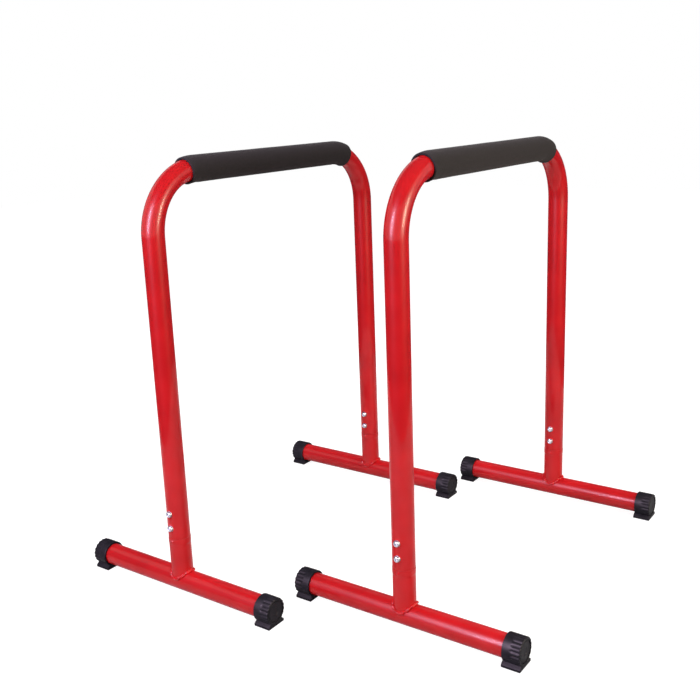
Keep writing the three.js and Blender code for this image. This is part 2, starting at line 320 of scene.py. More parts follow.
def surfaceMesh(name, grid, sharpDegrees=edgeAngle):
    # One closed mesh of a grid of points (rows, columns, xyz). The grid closes round its columns.
    # Its rows close too, unless the first row is a pole, where all its points are one.
    rows, columns = grid.shape[:2]
    index = np.arange(rows * columns).reshape(rows, columns)
    beside = np.roll(index, -1, axis=1)
    quads = np.stack([index, beside, np.roll(beside, -1, axis=0), np.roll(index, -1, axis=0)], axis=2)
    if np.ptp(grid[0], axis=0).max() == 0:
        quads = quads[:-1]
    quads = quads.reshape(-1, 4)
    mesh = bpy.data.meshes.new(name)
    mesh.vertices.add(rows * columns)
    mesh.vertices.foreach_set("co", (grid * metresPerMm).astype(np.float32).ravel())
    mesh.loops.add(quads.size)
    mesh.loops.foreach_set("vertex_index", quads.ravel())
    mesh.polygons.add(len(quads))
    mesh.polygons.foreach_set("loop_start", np.arange(0, quads.size, 4))
    mesh.update(calc_edges=True)
    closed = bmesh.new()
    closed.from_mesh(mesh)
    bmesh.ops.remove_doubles(closed, verts=closed.verts, dist=mergeDistance)
    bmesh.ops.recalc_face_normals(closed, faces=closed.faces)
    closed.to_mesh(mesh)
    closed.free()
    softened(mesh, sharpDegrees)
    return mesh


def softened(mesh, sharpDegrees=edgeAngle):
    mesh.shade_smooth()
    mesh.set_sharp_from_angle(angle=math.radians(sharpDegrees))


def roundedOutline(corners, steps):
    # Corners are (a, b, radius). Each is replaced by an arc that leaves the two straight runs at
    # radius / tan(half the corner's angle) from the corner, round a centre on its bisector.
    corners = np.array(corners, float)
    point, radius = corners[:, :2], corners[:, 2:]
    before = np.roll(point, 1, axis=0) - point
    after = np.roll(point, -1, axis=0) - point
    before /= np.linalg.norm(before, axis=1, keepdims=True)
    after /= np.linalg.norm(after, axis=1, keepdims=True)
    half = np.arccos(np.clip((before * after).sum(axis=1, keepdims=True), -1, 1)) / 2
    bisector = before + after
    bisector /= np.maximum(np.linalg.norm(bisector, axis=1, keepdims=True), tiny)
    centre = point + bisector * radius / np.sin(half)
    first = point + before * radius / np.tan(half) - centre
    last = point + after * radius / np.tan(half) - centre
    share = np.linspace(0, 1, steps)[None, :, None]
    arm = first[:, None] * (1 - share) + last[:, None] * share
    arm *= radius[:, None] / np.maximum(np.linalg.norm(arm, axis=2, keepdims=True), tiny)
    return (centre[:, None] + arm).reshape(-1, 2)


def refined(outline, longest, closest=0.001):
    # The same open outline with extra points on its long runs, at most longest mm apart, and
    # without points that are closest mm apart or nearer.
    length = np.concatenate([[0], np.cumsum(np.linalg.norm(np.diff(outline, axis=0), axis=1))])
    stations = np.union1d(length, np.arange(0, length[-1], longest))
    stations = stations[np.concatenate([[True], np.diff(stations) > closest])]
    return np.stack([np.interp(stations, length, outline[:, k]) for k in (0, 1)], axis=1)


def smoothStep(value):
    share = np.clip(value, 0, 1)
    return share * share * (3 - 2 * share)


def turnedGrid(along, radius, angles):
    # Radius turned round Z at each height along: x = r cos, y = r sin, z = along.
    radius = np.broadcast_to(radius, (len(along), len(angles)))
    height = np.broadcast_to(np.asarray(along)[:, None], radius.shape)
    return np.stack([radius * np.cos(angles), radius * np.sin(angles), height], axis=2)


def nodeBox(node):
    # A CAD node's lowest and highest corner in millimetres.
    return [np.array(corner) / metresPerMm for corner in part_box(node)]


def placed(shape, place, turn=0):
    # A copy of a shape with its place, in millimetres, and its turn about Z inside the mesh.
    mesh = shape.copy()
    mesh.transform(Matrix.Translation(Vector(place) * metresPerMm) @ Matrix.Rotation(turn, 4, "Z"))
    return mesh


def addPiece(name, mesh, material, body, slot, *nodes):
    piece = bpy.data.objects.new(name, mesh)
    bpy.context.scene.collection.objects.link(piece)
    mesh.materials.append(material)
    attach(piece, body)
    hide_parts(*nodes)
    return piece


# Where the frame holds things


def measureBar(bar):
    low, high = nodeBox(f"{bar}_u_frame")
    radius = (high[0] - low[0]) / 2
    return {
        "x": (low[0] + high[0]) / 2,
        "front": low[1] + radius,
        "rear": high[1] - radius,
        "seam": low[2],
        "grip": high[2] - radius,
        "radius": radius,
    }


barPlaces = {bar: measureBar(bar) for bar in ("left", "right")}
tubeRadius = barPlaces["left"]["radius"]
baseLow, baseHigh = nodeBox("left_front_base_tube")
footAxis = (baseLow[2] + baseHigh[2]) / 2
postTop = nodeBox("left_front_leg_post")[1][2]
seamRise = postTop - footAxis
fitGap = barPlaces["left"]["seam"] - postTop
seatRadius = tubeRadius + fitGap
feet = [(bar, end) for bar in barPlaces for end in ("front", "rear")]

# Frame tubes

frameTube = {
    "wall": 1.5,
    "bendRadius": 109,  # on the tube's axis
    "facetsRound": 80,
    "cutLip": 0.4,  # softened edge where the tube was cut
    "boltedRun": 64,  # finely stepped, for the bolt holes
    "boltedStep": 4,
    "plainStep": 20,
    "bendStep": 1.25,
    "innerStride": 6,  # of the bend's steps, on the inside of the wall
    "creasePitch": 6.5,  # compression creases on the inside of a bend
    "creaseDepth": 0.22,
    "flattening": 0.1,  # share that the bender takes off the section in the plane of the bend
    "widening": 0.02,  # and adds to it sideways
    "holeRadius": 3.3,
    "holeFacets": 40,
}


def framePath(place, s):
    # The point and the outward direction at s mm along the tube's axis from its front end: up the
    # leg, round a quarter circle, along the grip, round another and down. In a bend the point runs
    # as sine and cosine of the angle turned, and outwards turns with it from -Y over +Z to +Y.
    bend = frameTube["bendRadius"]
    leg = place["grip"] - place["seam"] - bend
    grip = place["rear"] - place["front"] - 2 * bend
    quarter = bend * quarterTurn
    first = np.clip((s - leg) / bend, 0, quarterTurn)
    run = np.clip(s - leg - quarter, 0, grip)
    second = np.clip((s - leg - quarter - grip) / bend, 0, quarterTurn)
    down = np.clip(s - leg - 2 * quarter - grip, 0, None)
    y = place["front"] + bend * (1 - np.cos(first)) + run + bend * np.sin(second)
    z = place["seam"] + np.minimum(s, leg) + bend * np.sin(first) - bend * (1 - np.cos(second)) - down
    angle = first + second
    point = np.stack([np.full_like(y, place["x"]), y, z], axis=-1)
    outward = np.stack([np.zeros_like(y), -np.cos(angle), np.sin(angle)], axis=-1)
    return point, outward, leg, quarter, 2 * leg + 2 * quarter + grip


def pipeGrid(place, along, radius, angles):
    # Carries a section along the frame's path: point + radius * (cos * X + sin * outwards). The
    # places along the path may differ round the section.
    point, outward = framePath(place, np.broadcast_to(along, radius.shape))[:2]
    spoke = np.cos(angles)[:, None] * np.array([1.0, 0, 0]) + np.sin(angles)[:, None] * outward
    return point + radius[..., None] * spoke


def wallLoop(outerRun, innerRun, outer, inner, lip, steps=4):
    # A tube wall's section as a closed loop of places along and radii: the outer side forwards, the
    # cut end with both edges rounded by lip, the inner side backwards, and the other end.
    start, end = outerRun[0], outerRun[-1]
    angle = np.linspace(0, quarterTurn, steps)
    rise, fall = lip * np.sin(angle), lip * np.cos(angle)
    parts = [
        (outerRun[1:-1], outer),
        (end - lip + rise, outer - lip + fall),
        (end - lip + fall, inner + lip - rise),
        (innerRun[::-1], inner),
        (start + lip - rise, inner + lip - fall),
        (start + lip - fall, outer - lip + rise),
    ]
    along = np.concatenate([part[0] for part in parts])
    radius = np.concatenate([np.broadcast_to(part[1], part[0].shape) for part in parts])
    return along, radius


def frameTubeMesh(bar):
    place = barPlaces[bar]
    leg, quarter, total = framePath(place, np.zeros(1))[2:]
    bolted = np.arange(0, frameTube["boltedRun"], frameTube["boltedStep"])
    plain = np.arange(frameTube["boltedRun"], leg, frameTube["plainStep"])
    bent = np.arange(leg, leg + quarter, frameTube["bendStep"])
    covered = np.arange(leg + quarter, total / 2, frameTube["plainStep"])
    half = np.concatenate([bolted, plain, bent, covered])
    outerRun = np.concatenate([half, total - half[::-1]])
    innerHalf = np.concatenate([bolted[1:], plain, bent[::frameTube["innerStride"]], covered])
    innerRun = np.concatenate([innerHalf, total - innerHalf[::-1]])
    inner = place["radius"] - frameTube["wall"]
    along, radius = wallLoop(outerRun, innerRun, place["radius"], inner, frameTube["cutLip"])
    angles = circle(frameTube["facetsRound"])
    fromSeam = np.minimum(along, total - along)[:, None]
    bendShare = np.clip((fromSeam - leg) / quarter, 0, 1)
    strain = np.sin(math.pi * bendShare) ** 2
    inside = np.clip(-np.sin(angles), 0, 1) ** 2
    crease = 0.5 + 0.5 * np.cos(fullTurn * (fromSeam - leg) / frameTube["creasePitch"])
    flatter = frameTube["flattening"] * np.sin(angles) ** 2
    squeeze = frameTube["widening"] * np.cos(angles) ** 2 - flatter
    change = squeeze * place["radius"] - frameTube["creaseDepth"] * inside * crease
    radius = radius[:, None] + strain * change
    return surfaceMesh(f"{bar}FrameTube", pipeGrid(place, along[:, None], radius, angles))


def rodMesh(name, radius, length, facets):
    # A plain rod along Y through the origin, with flat ends, used as a drill.
    ends = np.array([-length, -length, length, length]) / 2
    grid = turnedGrid(ends, np.array([0, radius, radius, 0])[:, None], circle(facets))
    return surfaceMesh(name, grid[..., [0, 2, 1]])


def joinMeshes(name, first, second, operation):
    # A Boolean of two closed meshes.
    base, tool = (bpy.data.objects.new(name, mesh) for mesh in (first, second))
    for item in (base, tool):
        bpy.context.scene.collection.objects.link(item)
    boolean = base.modifiers.new("join", "BOOLEAN")
    boolean.object, boolean.operation, boolean.solver = tool, operation, "MANIFOLD"
    result = bpy.data.meshes.new_from_object(base.evaluated_get(bpy.context.evaluated_depsgraph_get()))
    for item in (base, tool):
        bpy.data.objects.remove(item)
    result.materials.clear()
    result.name = name
    return result


def boltHeights():
    heights = []
    for level in ("lower", "upper"):
        low, high = nodeBox(f"left_front_{level}_bolt")
        heights.append((low[2] + high[2]) / 2)
    return heights


# The holes go through the -Y side of a leg alone.
drill = rodMesh("drill", frameTube["holeRadius"], 2 * tubeRadius, frameTube["holeFacets"])
for bar, place in barPlaces.items():
    mesh = frameTubeMesh(bar)
    for end in ("front", "rear"):
        for height in boltHeights():
            hole = placed(drill, (place["x"], place[end] - tubeRadius, height))
            mesh = joinMeshes(f"{bar}FrameTube", mesh, hole, "DIFFERENCE")
    softened(mesh)
    addPiece(f"{bar}FrameTube", mesh, paintMaterial, f"{bar}_bar", "red_powder_coat", f"{bar}_u_frame")
print("frame tubes bent and drilled")

# Foam grips

foamGrip = {
    "frontWrap": 12.5,  # degrees of the front bend
    "rearWrap": 20.5,
    "slant": 0.2,  # of the ends, where 1 means that no side of the sleeve is stretched
    "endRound": 1.5,
    "endSteps": 7,
    "facetsRound": 96,
    "step": 2,
    "innerStride": 4,
    "waver": 0.10,  # of the extruded skin
    "waverPitches": (31, 19, 13),  # mm along the sleeve for a radian of each wave
    "pinch": 0.35,  # fold on the inside where the bend starts
    "bulge": 0.2,  # and the fullness beside it
    "pinchWidth": 5,
}


def foamGripMesh(bar):
    place = barPlaces[bar]
    leg, quarter, total = framePath(place, np.zeros(1))[2:]
    low, high = nodeBox(f"{bar}_foam_grip")
    outer = (high[0] - low[0]) / 2
    start = leg + quarter * (1 - foamGrip["frontWrap"] / quarterDegrees)
    stop = total - leg - quarter * (1 - foamGrip["rearWrap"] / quarterDegrees)
    run = np.linspace(start, stop, round((stop - start) / foamGrip["step"]))
    lip = foamGrip["endRound"]
    clear = run[(run > start + lip) & (run < stop - lip)]
    outerRun = np.concatenate([[start], clear, [stop]])
    innerRun = clear[::foamGrip["innerStride"]]
    skinRadius = outer - foamGrip["waver"]
    along, radius = wallLoop(outerRun, innerRun, skinRadius, seatRadius, lip, foamGrip["endSteps"])
    angles = circle(foamGrip["facetsRound"])
    fromEnd = np.minimum(along, total - along)[:, None] - leg - quarter
    onSkin = smoothStep((radius - seatRadius) / (outer - seatRadius))[:, None]
    first, second, third = (along[:, None] / pitch for pitch in foamGrip["waverPitches"])
    swell = (np.sin(2 * angles + first) + np.sin(3 * angles - second + 1)
             + np.sin(third + 2 * np.cos(angles))) / 3
    fold = fromEnd / foamGrip["pinchWidth"]
    inside = np.clip(-np.sin(angles), 0, 1) ** 2
    pinch = -foamGrip["pinch"] * np.exp(-fold ** 2) * inside
    bulge = foamGrip["bulge"] * (np.exp(-(fold - 2) ** 2) + np.exp(-(fold + 2) ** 2)) * inside
    # In a bend the sleeve's outside lags behind and its inside runs ahead. The shift is the way into
    # the bend times (1 - r / R), with r the bend's radius on the axis and R that on this side.
    bend = frameTube["bendRadius"]
    thisSide = bend + outer * np.sin(angles)
    shift = foamGrip["slant"] * np.clip(-fromEnd, 0, None) * (1 - bend / thisSide)
    slanted = along[:, None] + np.where(along[:, None] < total / 2, shift, -shift)
    radius = radius[:, None] + onSkin * (foamGrip["waver"] * swell + pinch + bulge)
    return surfaceMesh(f"{bar}FoamSleeve", pipeGrid(place, slanted, radius, angles))


for bar in barPlaces:
    sleeve = addPiece(f"{bar}FoamSleeve", foamGripMesh(bar), foamMaterial, f"{bar}_bar", "grip_foam",
                      f"{bar}_foam_grip")
print("foam grips made")

# Base tubes

baseTube = {"facetsRound": 96, "step": 12, "innerStride": 4, "cutLip": 0.4}


def baseTubeMesh():
    half = (baseHigh[0] - baseLow[0]) / 2
    run = np.linspace(-half, half, round(2 * half / baseTube["step"]))
    innerRun = run[1:-1:baseTube["innerStride"]]
    inner = tubeRadius - frameTube["wall"]
    along, radius = wallLoop(run, innerRun, tubeRadius, inner, baseTube["cutLip"])
    grid = turnedGrid(along, radius[:, None], circle(baseTube["facetsRound"]))
    return surfaceMesh("baseTube", grid[..., [2, 1, 0]])


baseTubeShape = baseTubeMesh()
for bar, end in feet:
    place = barPlaces[bar]
    mesh = placed(baseTubeShape, (place["x"], place[end], footAxis))
    addPiece(f"{bar}{end.title()}BaseTube", mesh, paintMaterial, f"{bar}_bar", "red_powder_coat",
             f"{bar}_{end}_base_tube")
print("base tubes made")

# Leg posts, with their weld beads

legPost = {
    "facetsRound": 144,
    "collarHeight": 9.5,  # the raised band at the top
    "collarStep": 0.4,
    "collarRows": 22,
    "plainRows": 12,
    "innerStride": 3,
    "topLip": 0.35,
    "lipSteps": 4,
    "spotWeldRadius": 3,
    "spotWeldStand": 1.9,
    "dipShare": 0.42,  # how far the weld rounds off the saddle's lowest points
}
weldBead = {
    "radius": 2.8,
    "rowsRound": 480,
    "facets": 28,
    "rippleCount": 24,  # one for each pulse of the torch
    "rippleDepth": 0.6,
    "crescent": 0.33,
    "lean": 0.8,  # radians that the crescents lean
    "restLevel": 0.6,  # taken off the ripples, so that the bead keeps its size
    "lumpDepth": 1.5,
    "lumpCounts": (5, 9, 14),  # lumps round the post, for each wave
    "lumpStarts": (1, 2.3, 0),
}


def saddleHeight(angles):
    # Height of the joint line round the post: the radius times the length of (cos, dip share).
    return seatRadius * np.hypot(np.cos(angles), legPost["dipShare"])


def legPostMesh():
    inner = tubeRadius - frameTube["wall"]
    collarFoot = seamRise - legPost["collarHeight"]
    collarRadius = tubeRadius + legPost["collarStep"]
    lip = legPost["topLip"]
    plain = np.linspace(0, collarFoot - 2 * legPost["collarStep"], legPost["plainRows"])
    band = np.linspace(collarFoot, seamRise - lip, legPost["collarRows"])
    angle = np.linspace(0, quarterTurn, legPost["lipSteps"])
    rise, fall = lip * np.sin(angle), lip * np.cos(angle)
    parts = [
        (plain, tubeRadius),
        (band, collarRadius),
        (seamRise - lip + rise, collarRadius - lip + fall),
        (seamRise - lip + fall, inner + lip - rise),
        (plain[::-legPost["innerStride"]], inner),
    ]
    height = np.concatenate([part[0] for part in parts])[:, None]
    radius = np.concatenate([np.broadcast_to(part[1], part[0].shape) for part in parts])[:, None]
    angles = circle(legPost["facetsRound"])
    # Below the collar the heights are squeezed to start from the saddle.
    saddle = saddleHeight(angles)
    z = np.where(height < collarFoot, saddle + height * (1 - saddle / collarFoot), height)
    # The spot weld is a round swelling towards -Y in the middle of the collar.
    sideways = collarRadius * np.arctan2(np.cos(angles), -np.sin(angles))
    upwards = z - (seamRise - legPost["collarHeight"] / 2)
    reach = np.hypot(sideways, upwards) / legPost["spotWeldRadius"]
    dome = legPost["spotWeldStand"] * np.sqrt(np.clip(1 - reach ** 2, 0, 1))
    radius = radius + dome * (radius > tubeRadius)
    grid = np.stack([radius * np.cos(angles), radius * np.sin(angles), z], axis=2)
    return surfaceMesh("legPost", grid, sharpDegrees=50)


def weldBeadMesh():
    # A ring of round section on the joint line. Scallops follow the size of the sine of half the
    # ripple count times the angle round the post, bent into crescents by the cosine of the angle in
    # the section. The mean of three sine waves round the post makes it lumpy.
    around = circle(weldBead["rowsRound"])[:, None]
    section = circle(weldBead["facets"])[None, :]
    bent = weldBead["crescent"] * np.cos(section - weldBead["lean"])
    scallop = np.abs(np.sin(weldBead["rippleCount"] / 2 * around + bent))
    ripple = weldBead["rippleDepth"] * (scallop - weldBead["restLevel"])
    lumps = [np.sin(count * around + start)
             for count, start in zip(weldBead["lumpCounts"], weldBead["lumpStarts"])]
    radius = weldBead["radius"] + ripple + weldBead["lumpDepth"] * sum(lumps) / len(lumps)
    reach = seatRadius + radius * np.cos(section)
    z = saddleHeight(around) + radius * np.sin(section)
    grid = np.stack([reach * np.cos(around), reach * np.sin(around), z], axis=2)
    return surfaceMesh("weldBead", grid, sharpDegrees=80)


legPostShape = legPostMesh()
weldBeadShape = weldBeadMesh()
for bar, end in feet:
    place = barPlaces[bar]
    footPlace = (place["x"], place[end], footAxis)
    addPiece(f"{bar}{end.title()}LegPost", placed(legPostShape, footPlace), paintMaterial,
             f"{bar}_bar", "red_powder_coat", f"{bar}_{end}_leg_post")
    addPiece(f"{bar}{end.title()}WeldBead", placed(weldBeadShape, footPlace), paintMaterial,
             f"{bar}_bar", "red_powder_coat", f"{bar}_{end}_weld_bead")
print("leg posts welded on")

# End caps

endCap = {
    "length": 31.5,
    "wall": 3.7,
    "endWall": 4,
    "mouthRound": 0.9,
    "rimRound": 1.8,
    "rimWidth": 4.6,  # flat ring round the end face
    "grooveWidth": 2,
    "grooveDepth": 1.2,
    "discDrop": 0.7,  # the disc lies below the rim
    "hubRadius": 7,
    "hubDrop": 0.5,
    "boreRound": 0.6,
    "discRound": 0.5,
    "foldRound": 0.3,  # of the groove and the hub
    "roundSteps": 6,
    "ribCount": 18,
    "ribDepth": 1.2,
    "ribBand": 17,  # from the end face
    "ribFade": 1.2,
    "columnsPerRib": 12,
    "rowStep": 1.6,
}
floorPad = {
    "width": 41,
    "reach": 2,  # beyond the mouth, under the base tube
    "side": 4.4,  # height of the upright sides
    "slope": 4.8,
    "neckWidth": 29,
    "edgeRound": 0.6,
    "buried": 2,  # how deep its top lies in the sleeve's wall
    "setBack": 0.15,  # from the end face
    "mouthStations": (-0.05, 0.6),  # between these the hollow top turns into the arc
    "topPoints": 24,
    "roundSteps": 5,
}


def capSleeveMesh():
    # A cup turned round X. Its section runs from the pole inside, out over the mouth and back along
    # the outside to the pole of the end face. In the rib band the radius swells and sinks with the
    # size of the sine of half the rib count times the angle.
    bore, outer, length = seatRadius, seatRadius + endCap["wall"], endCap["length"]
    rim = outer - endCap["rimWidth"]
    disc = rim - endCap["grooveWidth"]
    grooveFloor = length - endCap["grooveDepth"] - endCap["discDrop"]
    discFace = length - endCap["discDrop"]
    hub, fold = endCap["hubRadius"], endCap["foldRound"]
    section = roundedOutline([
        (length - endCap["endWall"], 0, 0),
        (length - endCap["endWall"], bore, endCap["boreRound"]),
        (0, bore, endCap["mouthRound"]),
        (0, outer, endCap["mouthRound"]),
        (length, outer, endCap["rimRound"]),
        (length, rim, fold),
        (grooveFloor, rim, fold),
        (grooveFloor, disc, fold),
        (discFace, disc, endCap["discRound"]),
        (discFace, hub, fold),
        (discFace - endCap["hubDrop"], hub - endCap["hubDrop"], fold),
        (discFace - endCap["hubDrop"], 0, 0),
    ], endCap["roundSteps"])
    section = refined(section, endCap["rowStep"])
    along, radius = section[:, :1], section[:, 1:]
    angles = circle(endCap["ribCount"] * endCap["columnsPerRib"])
    valley = 1 - np.abs(np.sin(endCap["ribCount"] / 2 * angles))
    inBand = smoothStep((along - length + endCap["ribBand"]) / endCap["ribFade"])
    onOutside = smoothStep((radius - rim) / endCap["ribDepth"])
    radius = radius - endCap["ribDepth"] * valley * inBand * onOutside
    station = np.broadcast_to(along, radius.shape)
    grid = np.stack([station, radius * np.cos(angles), radius * np.sin(angles)], axis=2)
    return surfaceMesh("capSleeve", grid)


def floorPadMesh():
    # A bar along X. Its section is a low block with sloping shoulders. In the sleeve its top is an
    # arc inside the wall: the root of the arc's radius squared less y squared. Beyond the mouth the
    # top is flat, and hollowed by the same formula for the seat. At both ends the section draws in
    # by the edge's round, and closes in a pole.
    half, neck, edge = floorPad["width"] / 2, floorPad["neckWidth"] / 2, floorPad["edgeRound"]
    floor = -footAxis
    shoulder = floor + floorPad["side"]
    top = shoulder + floorPad["slope"]
    steps = floorPad["roundSteps"]
    block = [(neck, top, 0), (-neck, top, 0), (-half, shoulder, edge), (-half, floor, edge),
             (half, floor, edge), (half, shoulder, edge)]
    under = roundedOutline(block, steps)[2 * steps:]  # without the two corners of the top
    across = np.concatenate([[neck], np.linspace(neck, -neck, floorPad["topPoints"]), [-neck]])
    arc = -np.sqrt((seatRadius + floorPad["buried"]) ** 2 - across ** 2)
    arc[[0, -1]] = top
    hollow = np.minimum(top, -np.sqrt(seatRadius ** 2 - across ** 2))
    inSleeve = np.vstack([np.column_stack([across, arc]), under])
    beyondMouth = np.vstack([np.column_stack([across, hollow]), under])
    angle = np.linspace(0, quarterTurn, steps)
    lead, inset = edge * (1 - np.cos(angle)), edge * (1 - np.sin(angle))
    end = endCap["length"] - floorPad["setBack"]
    before, after = floorPad["mouthStations"]
    along = np.concatenate([lead - floorPad["reach"], [before, after, end / 2], end - lead[::-1]])
    joined = np.clip((along - before) / (after - before), 0, 1)[:, None, None]
    ring = beyondMouth * (1 - joined) + inSleeve * joined
    middle = np.array([0, (floor + top) / 2])
    size = np.array([half, (top - floor) / 2])
    drawn = 1 - np.concatenate([inset, [0, 0, 0], inset[::-1]])[:, None] / size
    ring = middle + (ring - middle) * drawn[:, None]
    ring = np.concatenate([ring[:1] * 0 + middle, ring, ring[-1:] * 0 + middle])
    along = np.concatenate([along[:1], along, along[-1:]])
    station = np.broadcast_to(along[:, None, None], (*ring.shape[:2], 1))
    return surfaceMesh("floorPad", np.concatenate([station, ring], axis=2))


capShape = joinMeshes("endCap", capSleeveMesh(), floorPadMesh(), "UNION")
softened(capShape)
for bar, end in feet:
    place = barPlaces[bar]
    for side in ("outer", "inner"):
        node = f"{bar}_{end}_{side}_end_cap"
        low, high = nodeBox(node)
        towardsPlusX = (low[0] + high[0]) / 2 > place["x"]
        mouth = high[0] - endCap["length"] if towardsPlusX else low[0] + endCap["length"]
        mesh = placed(capShape, (mouth, place[end], footAxis), 0 if towardsPlusX else math.pi)
        addPiece(f"{bar}{end.title()}{side.title()}Cap", mesh, rubberMaterial, f"{bar}_bar",
                 "cap_rubber", node)
print("end caps moulded")

# Bolts and washers, made towards -Y from the leg's axis, and the nuts welded inside the sleeves

bolt = {
    "radius": 3,
    "tip": 0.8,  # bevel of the threaded end
    "threadPitch": 1,
    "threadDepth": 0.45,
    "threadedRun": 12,
    "rowsPerTurn": 8,
    "headRadius": 5.5,
    "headHeight": 3.5,
    "headEdge": 0.3,  # bevel where the head meets the washer
    "rim": 0.7,
    "domeRows": 9,
    "socketAcrossFlats": 4,
    "socketDepth": 2,
    "socketEdge": 0.15,
    "drillCone": 0.8,  # at the bottom of the socket
    "columns": 72,
}
washer = {"radius": 6, "hole": 3.3, "thickness": 1.2, "edge": 0.2, "columns": 96}
weldNut = {
    "acrossFlats": 10,
    "height": 5,
    "bore": 3.1,
    "boreEdge": 0.5,
    "chamferStart": 4.75,
    "coneShare": 0.577,  # tangent of the usual 30 degrees
    "columns": 72,
}


def hexagonRadius(acrossFlats, angles):
    # Distance to a hexagon's side: half the width over the cosine of the angle from the flat.
    sixth = fullTurn / 6
    return acrossFlats / 2 / np.cos((angles + sixth / 2) % sixth - sixth / 2)


def towardsFront(grid):
    # Turns +Z to -Y, and keeps X.
    return np.stack([grid[..., 0], -grid[..., 2], grid[..., 1]], axis=2)


def boltMesh():
    # Rings from the pole at the threaded end, up the shank, over the button head and into its
    # socket, where the rings turn from round to hexagonal. The thread is a helix: its depth
    # follows the cosine of the place along less the angle, so that it climbs a pitch a turn.
    angles = circle(bolt["columns"])
    seat = seatRadius + washer["thickness"] + fitGap
    end = nodeBox("left_front_lower_bolt")[1][1] - barPlaces["left"]["front"]
    crown = bolt["socketAcrossFlats"] / 2 + bolt["rim"]
    rowStep = bolt["threadPitch"] / bolt["rowsPerTurn"]
    threaded = np.arange(-end + bolt["tip"], -end + bolt["threadedRun"], rowStep)
    dome = np.linspace(0, quarterTurn, bolt["domeRows"])
    domeHeight = bolt["headHeight"] - bolt["rim"]
    headTop = seat + bolt["headHeight"]
    hexagon = hexagonRadius(bolt["socketAcrossFlats"], angles)
    edge = bolt["headEdge"]
    rows = [(-end, 0), (-end, bolt["radius"] - bolt["tip"])]
    rows += [(height, bolt["radius"]) for height in threaded]
    rows += [(seat, bolt["radius"]), (seat, bolt["headRadius"] - edge),
             (seat + edge, bolt["headRadius"])]
    rows += [(seat + bolt["rim"] + domeHeight * math.sin(a),
              crown + (bolt["headRadius"] - crown) * math.cos(a)) for a in dome]
    height = np.array([row[0] for row in rows])
    radius = np.repeat(np.array([row[1] for row in rows], float)[:, None], len(angles), axis=1)
    ridge = 0.5 - 0.5 * np.cos(fullTurn * height[:, None] / bolt["threadPitch"] - angles)
    isThread = (height > -end) & (height < -end + bolt["threadedRun"])
    radius -= bolt["threadDepth"] * ridge * isThread[:, None]
    body = turnedGrid(height, radius, angles)
    floor, edge = headTop - bolt["socketDepth"], bolt["socketEdge"]
    heights = [headTop, headTop - edge, floor, floor - bolt["drillCone"]]
    radii = np.stack([hexagon + edge, hexagon, hexagon, hexagon * 0])
    socket = turnedGrid(heights, radii, angles)
    return surfaceMesh("bolt", towardsFront(np.vstack([body, socket])), sharpDegrees=35)


def washerMesh():
    # A disc whose back face follows the leg: its distance from the axis is the root of the
    # seat radius squared less x squared. Shares go from the back face, 0, to the flat face, 1.
    angles = circle(washer["columns"])
    hole, rim, edge = washer["hole"], washer["radius"], washer["edge"]
    soft, middle = edge / washer["thickness"], (hole + rim) / 2
    loop = [(hole, soft), (hole, 1 - soft), (hole + edge, 1), (middle, 1), (rim - edge, 1),
            (rim, 1 - soft), (rim, soft), (rim - edge, 0), (middle, 0), (hole + edge, 0)]
    radius = np.array([row[0] for row in loop])[:, None]
    share = np.array([row[1] for row in loop])[:, None]
    back = np.sqrt(seatRadius ** 2 - (radius * np.cos(angles)) ** 2)
    height = back + share * (seatRadius + washer["thickness"] - back)
    grid = np.stack([radius * np.cos(angles), radius * np.sin(angles), height], axis=2)
    return surfaceMesh("washer", towardsFront(grid), sharpDegrees=35)


def weldNutMesh():
    # A hexagon with both faces turned to a cone outside the chamfer's start, so that the edge
    # drops by the cone's share of the distance beyond it.
    angles = circle(weldNut["columns"])
    hexagon = hexagonRadius(weldNut["acrossFlats"], angles)
    drop = weldNut["coneShare"] * np.clip(hexagon - weldNut["chamferStart"], 0, None)
    top, edge, flat = weldNut["height"], weldNut["boreEdge"], np.ones_like(angles)
    bore, mouth, face = weldNut["bore"], weldNut["bore"] + edge, weldNut["chamferStart"]
    heights = np.stack([edge * flat, (top - edge) * flat, top * flat, top * flat,
                        top - drop, drop, 0 * flat, 0 * flat])
    radii = np.stack([bore * flat, bore * flat, mouth * flat, face * flat,
                      hexagon, hexagon, face * flat, mouth * flat])
    grid = np.stack([radii * np.cos(angles), radii * np.sin(angles), heights], axis=2)
    return surfaceMesh("weldNut", towardsFront(grid), sharpDegrees=25)


boltShape, washerShape, weldNutShape = boltMesh(), washerMesh(), weldNutMesh()
for bar, end in feet:
    place = barPlaces[bar]
    for level, height in zip(("lower", "upper"), boltHeights()):
        node = f"{bar}_{end}_{level}"
        name = f"{bar}{end.title()}{level.title()}"
        spot = (place["x"], place[end], height)
        inner = (place["x"], nodeBox(f"{node}_weld_nut")[1][1], height)
        fasteners = [
            ("Bolt", placed(boltShape, spot), boltMaterial, "zinc_plate", "bolt"),
            ("Washer", placed(washerShape, spot), washerMaterial, "zinc_plate", "washer"),
            ("WeldNut", placed(weldNutShape, inner), steelMaterial, "bare_steel", "weld_nut"),
        ]
        for suffix, mesh, material, slot, part in fasteners:
            addPiece(name + suffix, mesh, material, f"{bar}_bar", slot, f"{node}_{part}")
print("bolts, washers and weld nuts fitted")

# The insert sleeves inside the legs keep their CAD solids.
for bar, end in feet:
    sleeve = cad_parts[f"{bar}_{end}_insert_sleeve"]
    sleeve.data.materials.clear()
    sleeve.data.materials.append(steelMaterial)

# Floor, world and lamps, in metres

studio = {
    "floorSize": 14,
    "floorDrop": 0.0002,  # below the pads, so that they don't share a face
    "floorGlow": 0.88,  # the rest of its white comes from the lamps, and a shadow takes it away
    "floorLit": "#A0A0A0",
    "floorBounce": "#A6A6A6",  # what the floor throws back on the bars
    "ambient": 0.43,
    "mirroredFloor": "#E6E6E6",  # plain lit paper in reflections, so that they keep the shadows
}
